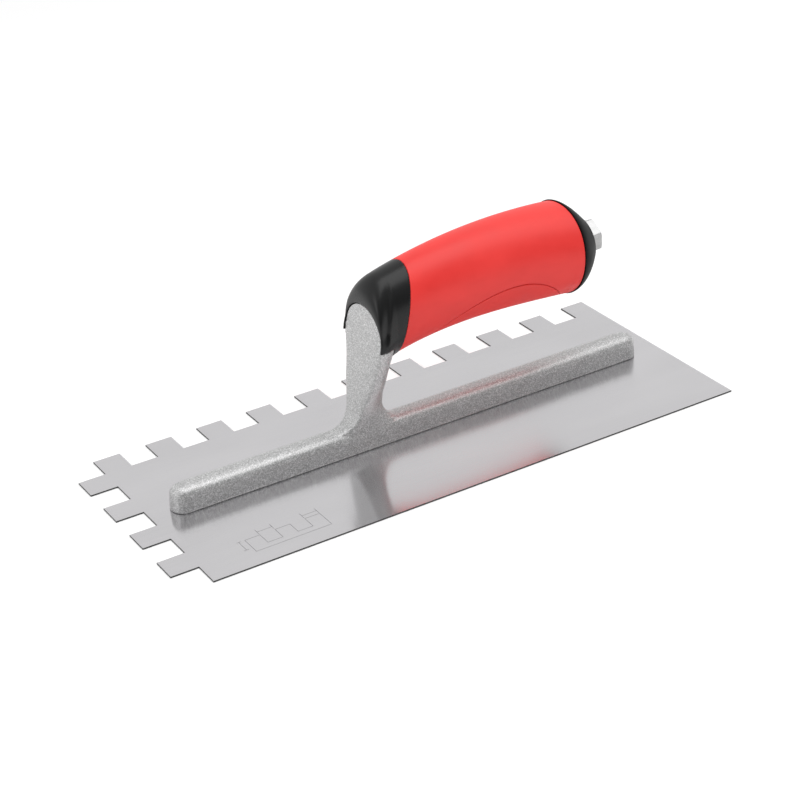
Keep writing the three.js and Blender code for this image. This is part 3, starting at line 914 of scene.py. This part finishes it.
def grip_row(run, inset):
    """One outline across the grip: over the top between the edges of the pad's trough, then
    along the trough's floor."""
    border = pad_border(run)
    depth = PAD_DEPTH * smoothstep(border, *PAD_FADE)
    share = min(EDGE_ROUND, depth / 2) / EDGE_ROUND
    arc = [(border + (PAD_GAP / 2 + distance) * share / GRIP_RADIUS, drop * share)
           for distance, drop in edge_round()]
    steps = 120
    start = arc[-1][0]
    for step in range(1, steps):
        arc.append((lerp(start, 2 * math.pi - start, step / steps), 0.0))
    arc += [(2 * math.pi - angle, drop) for angle, drop in reversed(arc[:len(edge_round())])]
    floor_steps = 30
    first = arc[0][0]
    floor = [(lerp(-first, first, step / floor_steps), depth) for step in range(floor_steps + 1)]
    return [grip_point(run, angle, inset + drop) for angle, drop in arc + floor]


def grip():
    """The red sleeve: a tube with a trough under the palm where the pad lies."""
    outer = [grip_row(run, inset) for run, inset in grip_runs()]
    angles = full_turn(len(outer[0]))
    bore_inset = CORE_INSET - CORE_CLEARANCE
    inner = [[grip_point(run, angle, bore_inset) for angle in angles]
             for run in (1, 0.75, 0.5, 0.25, 0)]
    obj = loft("grip", outer + inner, closed=True)
    red = moulded_plastic("red_grip", (0.82, 0.032, 0.027), (0.9, 0.042, 0.036), 0.42, 0.52, 0.45)
    finish_piece(obj, ["grip_sleeve"], "red_grip", red)


def pad_row(run):
    """One outline across the pad, or nothing where it has run out."""
    narrowest, thinnest = 0.02, 0.05
    border = pad_border(run)
    depth = (PAD_DEPTH - PAD_GAP) * smoothstep(border, *PAD_FADE)
    edge = border - PAD_GAP / 2 / GRIP_RADIUS
    if edge < narrowest or depth < thinnest:
        return None
    share = min(EDGE_ROUND, depth / 2, edge * GRIP_RADIUS / 3) / EDGE_ROUND
    side = [(edge - distance * share / GRIP_RADIUS, drop * share)
            for distance, drop in edge_round()]
    steps, under_steps = 60, 24
    start = side[-1][0]
    over = [(lerp(start, -start, step / steps), 0.0) for step in range(1, steps)]
    under = [(lerp(-edge, edge, step / under_steps), depth) for step in range(under_steps + 1)]
    outline = side + over + [(-angle, drop) for angle, drop in reversed(side)] + under
    return [grip_point(run, angle, drop) for angle, drop in outline]


def palm_pad():
    steps = 220
    rows = [pad_row(step / steps) for step in range(steps + 1)]
    obj = loft("pad", [row for row in rows if row])
    red = moulded_plastic("red_pad", (0.81, 0.036, 0.031), (0.89, 0.046, 0.04), 0.48, 0.6, 0.4)
    finish_piece(obj, ["palm_pad"], "red_pad", red)


def core():
    """The hard plastic tube inside the grip."""
    steps, rows = 64, 12
    outer = [[grip_point(row / rows, angle, CORE_INSET) for angle in full_turn(steps)]
             for row in range(rows + 1)]
    inner = [rod_circle_from_below(along, ROD_RADIUS + ROD_CLEARANCE, steps)
             for along in reversed(CORE_ENDS)]
    obj = loft("core", outer + inner, closed=True)
    black = moulded_plastic("core_plastic", grey(0.02), grey(0.03), 0.5, 0.6)
    finish_piece(obj, ["handle_core"], "core_plastic", black)


# ---- Collar ----

def hood_point(x, angle):
    """A point of the collar's outside, by its angle up from the bottom.

    The hood grows from a circle round the shield to the handle's section. A scoop in each side ends
    in a crease at the band beside the grip, and the foot spreads out over the post.
    """
    run = clamp((x - HOOD_FRONT_X) / HOOD_LENGTH)
    grown = (1 - (1 - run) ** HOOD_POWER) ** (1 / HOOD_POWER)
    middle, half_height, half_width = handle_section(x)
    top = lerp(SHIELD_CENTRE_Z + HOOD_RADIUS, middle + half_height, grown)
    bottom = lerp(SHIELD_CENTRE_Z - HOOD_RADIUS, middle - half_height, grown)
    behind_rim = clamp((x - HOOD_FRONT_X) / HOOD_RIM_ROUND)
    rim_inset = HOOD_RIM_ROUND * (1 - math.sqrt(1 - (1 - behind_rim) ** 2))
    width = lerp(HOOD_RADIUS, half_width, grown * run) - rim_inset
    power = lerp(1, 2 / HANDLE_N, run)
    z = (top + bottom) / 2 - (top - bottom) / 2 * signed_power(math.cos(angle), power)
    y = width * signed_power(math.sin(angle), power)
    foot_top = LEDGE_Z + HOOD_FOOT
    widest_x = HOOD_FRONT_X + 4
    low = 1 - smoothstep(z, LEDGE_Z, foot_top)
    along = (smoothstep(x, HOOD_FRONT_X - 1, widest_x)
             * (1 - smoothstep(x, widest_x, COLLAR_JOINT_X)))
    ahead = collar_joint(y, z) - BAND_LENGTH - x
    side = smoothstep(abs(math.sin(angle)), 0.25, 0.75)
    scoop = (smoothstep(ahead, -SCOOP_STEP / 4, SCOOP_STEP)
             * (1 - smoothstep(ahead, SCOOP_STEP, SCOOP_LENGTH))
             * smoothstep(z, LEDGE_Z + 1, foot_top))
    spread = HOOD_SIDE_FLARE * low * along - SCOOP_DEPTH * side * scoop
    lean = (face_x(z) - FACE_X) * (1 - run) ** 2
    return (x + lean, y * (1 + spread / width), z)


def collar_rings():
    """Rings from the hood's front edge back to the joint with the grip."""
    count = 90
    crowding = 1.6
    rings = []
    for row in range(count + 1):
        run = (row / count) ** crowding
        ring = []
        for angle in full_turn(160):
            x = HOOD_FRONT_X
            for _ in range(SETTLE_STEPS):
                _, y, z = hood_point(x, angle)
                x = lerp(HOOD_FRONT_X, collar_joint(y, z) - JOINT_GAP, run)
            ring.append(hood_point(x, angle))
        rings.append(ring)
    return rings


def pocket():
    """The recess that the shield lies in, open to the front."""
    return arch("pocket", lambda z: face_x(z) - POCKET_REACH,
                lambda z: face_x(z) + SHIELD_THICK + POCKET_GAP, POCKET_GAP)


def collar():
    """The black hood that grows from the shield into the handle, with a crease round its band."""
    far = 50
    obj = loft("collar", collar_rings())
    under = box("under", (-far, -far, 0), (LEDGE_END_X, far, LEDGE_Z + 0.1))
    bore = rod_cylinder("bore", BOSS_RADIUS + ROD_CLEARANCE, -16, 10)
    cut(obj, under, post(COLLAR_CLEARANCE), pocket(), plug(COLLAR_CLEARANCE), bore)
    voxel_skin(obj, COLLAR_VOXEL, 2)
    black = moulded_plastic("black_plastic", grey(0.004, 0.04), grey(0.007, 0.04), 0.26, 0.34, 0.34)
    obj.name = "handle_collar"
    finish_piece(obj, ["collar"], "black_plastic", black, angle=None)


# ---- End cap and fastening ----

def dome_ring(t, inset=0.0, shift=0.0):
    """An outline of the cap's dome, from the grip's section at 0 to the rim's circle at 1."""
    middle, half_height, half_width = handle_section(CAP_JOINT_X)
    bulge = t**CAP_POWER
    sag = CAP_SAG * math.sin(math.pi * t)
    centre = lerp(middle, ROD_ORIGIN_Z + CAP_RIM * math.sin(ROD_TILT), t) - sag
    lean = lerp(CAP_JOINT_LEAN, -math.tan(ROD_TILT), t)
    x = lerp(cap_joint(middle), CAP_RIM * math.cos(ROD_TILT), t)
    section = (centre, lerp(half_height + CAP_LIP, CAP_RIM_RADIUS, bulge) + sag,
               lerp(half_width + CAP_LIP, CAP_RIM_RADIUS, bulge))
    ring = []
    for angle in full_turn(128):
        _, y, z = section_point(x, angle, section, inset)
        ring.append((x + shift + lean * (z - centre), y, z))
    return ring


def cap():
    """The black domed end, proud of the grip by a thin lip, with a well for the washers and nut."""
    length = CAP_RIM - CAP_JOINT_X
    rings = [dome_ring(distance / length, depth, JOINT_GAP) for distance, depth in edge_round()]
    stations = 60
    start, end = 0.03, 0.965
    rings += [dome_ring(lerp(start, end, i / stations)) for i in range(stations + 1)]
    rim_steps = 8
    rim_round = (1 - end) * length
    for step in range(1, rim_steps + 1):
        angle = math.pi / 2 * step / rim_steps
        rings.append(dome_ring(lerp(end, 1, math.sin(angle)), rim_round * (1 - math.cos(angle))))
    ease = 0.4
    bore = ROD_RADIUS + ROD_CLEARANCE
    well = ((CAP_RIM, WELL_RADIUS + ease), (CAP_RIM - ease, WELL_RADIUS),
            (WELL_FLOOR, WELL_RADIUS), (WELL_FLOOR, bore), (CORE_ENDS[1], bore))
    rings += [rod_circle_from_below(along, radius, len(rings[0])) for along, radius in well]
    obj = loft("cap", rings, closed=True)
    dull = moulded_plastic("cap_plastic", grey(0.004, 0.04), grey(0.007, 0.04), 0.4, 0.5, 0.05)
    finish_piece(obj, ["end_cap"], "black_plastic", dull)


def washer(zinc):
    """A flat ring with eased outer edges."""
    inner, outer, thick = ROD_RADIUS + ROD_CLEARANCE, WASHER["outer"], WASHER["thick"]
    ease = 0.2
    profile = [(0, inner), (0, outer - ease), (ease, outer), (thick - ease, outer),
               (thick, outer - ease), (thick, inner)]
    finish_piece(lathe("washer", profile, WASHER["start"]), ["flat_washer"], "zinc_steel", zinc)


def spring(zinc):
    """One turn of square wire, its ends lifted past each other."""
    inner, outer = ROD_RADIUS + ROD_CLEARANCE, SPRING["outer"]
    steps = 80
    gap = 0.1
    lift = 0.35
    ease = 0.15
    wire = SPRING["thick"] - lift
    section = [(ease, inner), (0, inner + ease), (0, outer - ease), (ease, outer),
               (wire - ease, outer), (wire, outer - ease), (wire, inner + ease),
               (wire - ease, inner)]
    rings = []
    for step in range(steps + 1):
        run = step / steps
        angle = lerp(gap, 2 * math.pi - gap, run)
        base = SPRING["start"] + lift * run
        rings.append([on_rod(base + along, radius * math.sin(angle), -radius * math.cos(angle))
                      for along, radius in section])
    finish_piece(loft("spring", rings), ["spring_washer"], "zinc_steel", zinc)


def nut_outline(along, limit, steps):
    """The nut's hexagon at a distance along the rod, its corners eased and kept inside a limit."""
    corner_ease = 0.12
    sector = math.pi / 3
    flat = NUT["across"] / 2
    corner = flat / math.cos(sector / 2)
    ring = []
    for angle in full_turn(steps):
        off_flat = (angle + sector / 2) % sector - sector / 2
        radius = min(flat / math.cos(off_flat), corner - corner_ease, limit)
        ring.append(on_rod(NUT["start"] + along, radius * math.cos(angle + NUT_TURN),
                           radius * math.sin(angle + NUT_TURN)))
    return ring


def nut(zinc):
    """A hexagon nut with chamfered corners and a threaded hole."""
    steps = 120
    thick, chamfer = NUT["thick"], NUT["chamfer"]
    corner = NUT["across"] / 2 / math.cos(math.pi / 6)
    face_limit = corner - 0.6
    mouth, mouth_depth = ROD_RADIUS + 0.55, 0.5
    thread_radii = (ROD_RADIUS - 0.1, ROD_RADIUS + 0.32)
    thread_rows = 24
    runs = [step / 6 for step in range(7)]
    rings = [nut_outline(chamfer * run, lerp(face_limit, corner, run), steps) for run in runs]
    rings += [nut_outline(thick - chamfer * (1 - run), lerp(corner, face_limit, run), steps)
              for run in runs]
    hole = [(thick, mouth)]
    for row in range(thread_rows + 1):
        along = lerp(thick - mouth_depth, mouth_depth, row / thread_rows)
        hole.append((along, thread_radii[row % 2]))
    hole.append((0, mouth))
    rings += [rod_circle(NUT["start"] + along, radius, steps) for along, radius in hole]
    finish_piece(loft("nut", rings, closed=True), ["hex_nut"], "zinc_steel", zinc, angle=25)


def thread_ring(along, depth, limit, steps):
    """The rod's outline where its thread has a depth, kept inside a limit at the chamfered end."""
    steepness, flat_crest = 1.25, 0.12
    ring = []
    for angle in full_turn(steps):
        phase = (along / THREAD_PITCH + angle / (2 * math.pi)) % 1
        groove = clamp((1 - abs(2 * phase - 1)) * steepness - flat_crest)
        radius = min(limit, ROD_RADIUS - depth * groove)
        ring.append(on_rod(along, radius * math.sin(angle), -radius * math.cos(angle)))
    return ring


def threaded_rod(zinc):
    """A plain shank with a rolled thread at the nut's end."""
    steps = 48
    rows_per_turn = 8
    thread_start, run_in = 78, 2
    start_chamfer, end_chamfer, end_slope = 0.8, 0.9, 0.9
    end = ROD_END - JOINT_GAP
    shank = ((ROD_START, ROD_RADIUS - start_chamfer), (ROD_START + start_chamfer, ROD_RADIUS),
             (thread_start - run_in, ROD_RADIUS))
    rings = [rod_circle_from_below(along, radius, steps) for along, radius in shank]
    count = int((end - thread_start) / THREAD_PITCH * rows_per_turn)
    for row in range(count + 1):
        along = lerp(thread_start, end, row / count)
        depth = THREAD_DEPTH * min(1, (along - thread_start) / run_in)
        limit = ROD_RADIUS - max(0, along - (end - end_chamfer)) * end_slope
        rings.append(thread_ring(along, depth, limit, steps))
    finish_piece(loft("rod", rings), ["threaded_rod"], "zinc_steel", zinc)


# ---- Surroundings ----

def floor():
    """A wide pale floor, just under the blade."""
    reach, top = 20000, -0.05
    corners = [(x * reach, y * reach, top) for x, y in ((-1, -1), (1, -1), (1, 1), (-1, 1))]
    obj = mesh_object("floor", corners, [(0, 1, 2, 3)])
    finish = Finish("floor_pale", grey(0.9), 0.9, specular=0.2)
    finish.shader.inputs["Emission Color"].default_value = (1, 1, 1, 1)
    finish.shader.inputs["Emission Strength"].default_value = 0.15
    obj.data.materials.append(finish.material)


def area_light(name, place, target, size, power):
    """A rectangle of light in metres and watts, turned towards its target."""
    light = bpy.data.lights.new(name, "AREA")
    light.shape = "RECTANGLE"
    light.size, light.size_y = size
    light.energy = power
    obj = bpy.data.objects.new(name, light)
    obj.location = place
    direction = Vector(target) - Vector(place)
    obj.rotation_euler = direction.to_track_quat("-Z", "Y").to_euler()
    bpy.context.scene.collection.objects.link(obj)


def lights():
    """A soft overhead box, a weak one on the left, and a sky that is bright behind the object and
    dim in front of it."""
    brightest = (0.15, 0.8, 0.6)
    dim, bright = (0.0, 0.08), (0.6, 0.84)
    world = bpy.data.worlds.new("studio")
    world.use_nodes = True
    tree = world.node_tree
    direction = tree.nodes.new("ShaderNodeTexCoord").outputs["Generated"]
    facing = tree.nodes.new("ShaderNodeVectorMath")
    facing.operation = "DOT_PRODUCT"
    facing.inputs[1].default_value = brightest
    tree.links.new(direction, facing.inputs[0])
    ramp = tree.nodes.new("ShaderNodeValToRGB")
    for element, (position, value) in zip(ramp.color_ramp.elements, (dim, bright)):
        element.position = position
        element.color = (value, value, value, 1)
    shift = tree.nodes.new("ShaderNodeMath")
    shift.operation = "MULTIPLY_ADD"
    shift.inputs[1].default_value = 0.5
    shift.inputs[2].default_value = 0.4
    tree.links.new(facing.outputs["Value"], shift.inputs[0])
    tree.links.new(shift.outputs[0], ramp.inputs["Fac"])
    tree.links.new(ramp.outputs["Color"], tree.nodes["Background"].inputs["Color"])
    bpy.context.scene.world = world
    area_light("overhead", (0.28, -0.24, 1.15), (0.28, -0.24, 0), (1.2, 1.0), 7.0)
    area_light("left", (-1.3, -0.1, 0.6), (0, 0, 0.03), (0.7, 0.7), 2.4)


def camera():
    """The view is set by the camera's place, its bearing, its elevation and a slight roll."""
    across = math.cos(CAMERA_ELEVATION)
    back = Vector((math.sin(CAMERA_AZIMUTH) * across, -math.cos(CAMERA_AZIMUTH) * across,
                   math.sin(CAMERA_ELEVATION)))
    right = Vector((math.cos(CAMERA_AZIMUTH), math.sin(CAMERA_AZIMUTH), 0))
    up = back.cross(right)
    turned_right = right * math.cos(CAMERA_ROLL) + up * math.sin(CAMERA_ROLL)
    turned_up = up * math.cos(CAMERA_ROLL) - right * math.sin(CAMERA_ROLL)
    data = bpy.data.cameras.new("camera")
    data.lens = CAMERA_LENS
    data.sensor_width = 36
    data.clip_start = 0.01
    data.clip_end = 50
    obj = bpy.data.objects.new("camera", data)
    matrix = Matrix((turned_right, turned_up, back)).transposed().to_4x4()
    matrix.translation = Vector(CAMERA_PLACE)
    obj.matrix_world = matrix
    bpy.context.scene.collection.objects.link(obj)
    bpy.context.scene.camera = obj


# ---- Assembly ----

camera()
lights()
floor()
blade()
rivets()
casting()
collar()
core()
grip()
palm_pad()
cap()
zinc = zinc_plate()
washer(zinc)
spring(zinc)
nut(zinc)
threaded_rod(zinc)

bpy.context.scene.view_settings.view_transform = "Standard"
